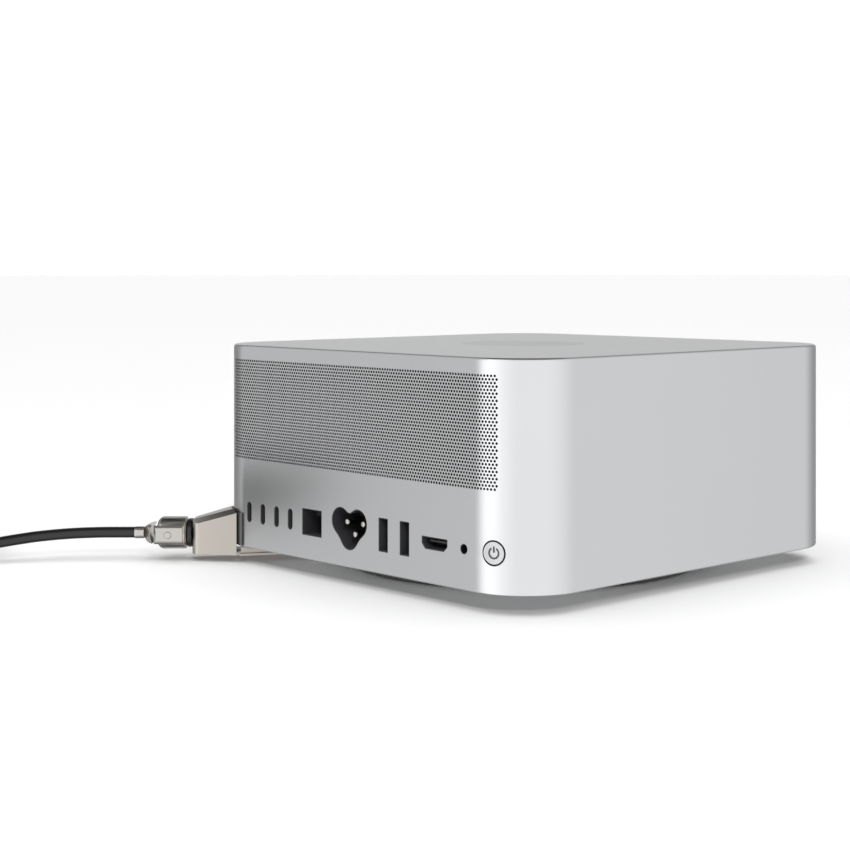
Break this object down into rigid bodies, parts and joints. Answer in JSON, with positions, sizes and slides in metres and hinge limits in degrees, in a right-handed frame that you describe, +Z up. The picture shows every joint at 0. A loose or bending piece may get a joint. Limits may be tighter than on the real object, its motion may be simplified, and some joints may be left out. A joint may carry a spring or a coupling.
{
  "type": "mini desktop computer",
  "caption": "Square rounded aluminium desktop computer with rear ports and vent field, round foot, corner lock bracket and security cable.",
  "frame": {"origin": "centre of the plane that the round rubber foot rests on, under the centre of the casing", "axes": "+Z up, +Y out of the rear face with the ports, -Y out of the front, lock bracket on the +X +Y corner"},
  "size_m": [0.3301, 0.3303, 0.095],
  "materials": {
    "anodised_aluminium": "bead blasted and clear anodised, fine matt sheen",
    "bare_aluminium": "extruded, bare",
    "satin_zinc": "cast zinc alloy, satin nickel finish",
    "nickel_plate": "polished nickel plate",
    "zinc_steel": "zinc plated steel",
    "connector_steel": "formed stainless sheet",
    "contact_metal": "nickel plated brass",
    "black_rubber": "moulded, matt",
    "circuit_board": "dark solder mask on glass laminate",
    "cable_jacket": "smooth extruded vinyl jacket",
    "woven_tie": "woven hook and loop strap",
    "light_pipe": "clear moulded light pipe",
    "black_plastic": "moulded, fine matt grain"
  },
  "bodies": {
    "computer": {"base_plate": "anodised_aluminium", "base_screw_1": "zinc_steel", "base_screw_2": "zinc_steel", "base_screw_3": "zinc_steel", "base_screw_4": "zinc_steel", "blower_housing": "black_plastic", "bracket_ledge": "satin_zinc", "bracket_pad": "black_rubber", "bracket_screw_1": "zinc_steel", "bracket_screw_2": "zinc_steel", "bulk_capacitor_1": "black_plastic", "bulk_capacitor_2": "black_plastic", "cable_coil": "cable_jacket", "cable_crimp": "nickel_plate", "cable_lead": "cable_jacket", "cable_loop": "cable_jacket", "cable_tail": "cable_jacket", "cable_tie": "woven_tie", "card_reader": "connector_steel", "chassis_ring": "zinc_steel", "ethernet_jack": "black_plastic", "foot_ring": "black_rubber", "front_usb_c_1": "connector_steel", "front_usb_c_2": "connector_steel", "hdmi_port": "connector_steel", "headphone_jack": "black_plastic", "heatsink": "bare_aluminium", "housing": "anodised_aluminium", "inlet_pin_1": "contact_metal", "inlet_pin_2": "contact_metal", "inlet_pin_3": "contact_metal", "lock_barrel": "nickel_plate", "lock_bracket": "satin_zinc", "lock_collar": "black_plastic", "logic_board": "circuit_board", "power_inlet": "black_plastic", "power_supply_board": "circuit_board", "power_switch": "black_plastic", "processor": "zinc_steel", "speaker": "black_plastic", "status_light": "light_pipe", "storage_module": "black_plastic", "top_roundel": "anodised_aluminium", "transformer": "black_plastic", "usb_a_1": "connector_steel", "usb_a_2": "connector_steel", "usb_c_1": "connector_steel", "usb_c_2": "connector_steel", "usb_c_3": "connector_steel", "usb_c_4": "connector_steel", "yoke_pin_1": "nickel_plate", "yoke_pin_2": "nickel_plate"},
    "fan_left": {"fan_left": "black_plastic"},
    "fan_right": {"fan_right": "black_plastic"},
    "power_button": {"power_button": "anodised_aluminium", "switch_plunger": "black_plastic"},
    "lock_key": {"key_core": "contact_metal", "lock_tbar": "zinc_steel"},
    "cable_yoke": {"cable_yoke": "nickel_plate", "cable_ferrule": "nickel_plate"}
  },
  "joints": [
    {"name": "fan_left_spin", "type": "hinge", "parent": "computer", "child": "fan_left", "pos_m": [-0.038, 0, 0.068], "axis": [0, 0, 1], "continuous": true},
    {"name": "fan_right_spin", "type": "hinge", "parent": "computer", "child": "fan_right", "pos_m": [0.038, 0, 0.068], "axis": [0, 0, 1], "continuous": true},
    {"name": "power_button_press", "type": "slide", "parent": "computer", "child": "power_button", "axis": [0.32, -0.9474, 0], "range_m": [0, 0.0007], "stiffness_N_per_m": 2500, "springref_m": -0.0003},
    {"name": "key_turn", "type": "hinge", "parent": "computer", "child": "lock_key", "pos_m": [0.10288, 0.10925, 0.0115], "axis": [0.7071, 0.7071, 0], "range_deg": [0, 90]},
    {"name": "yoke_swing", "type": "hinge", "parent": "computer", "child": "cable_yoke", "pos_m": [0.10691, 0.11328, 0.0115], "axis": [0.7071, -0.7071, 0], "range_deg": [-20, 60]}
  ]
}
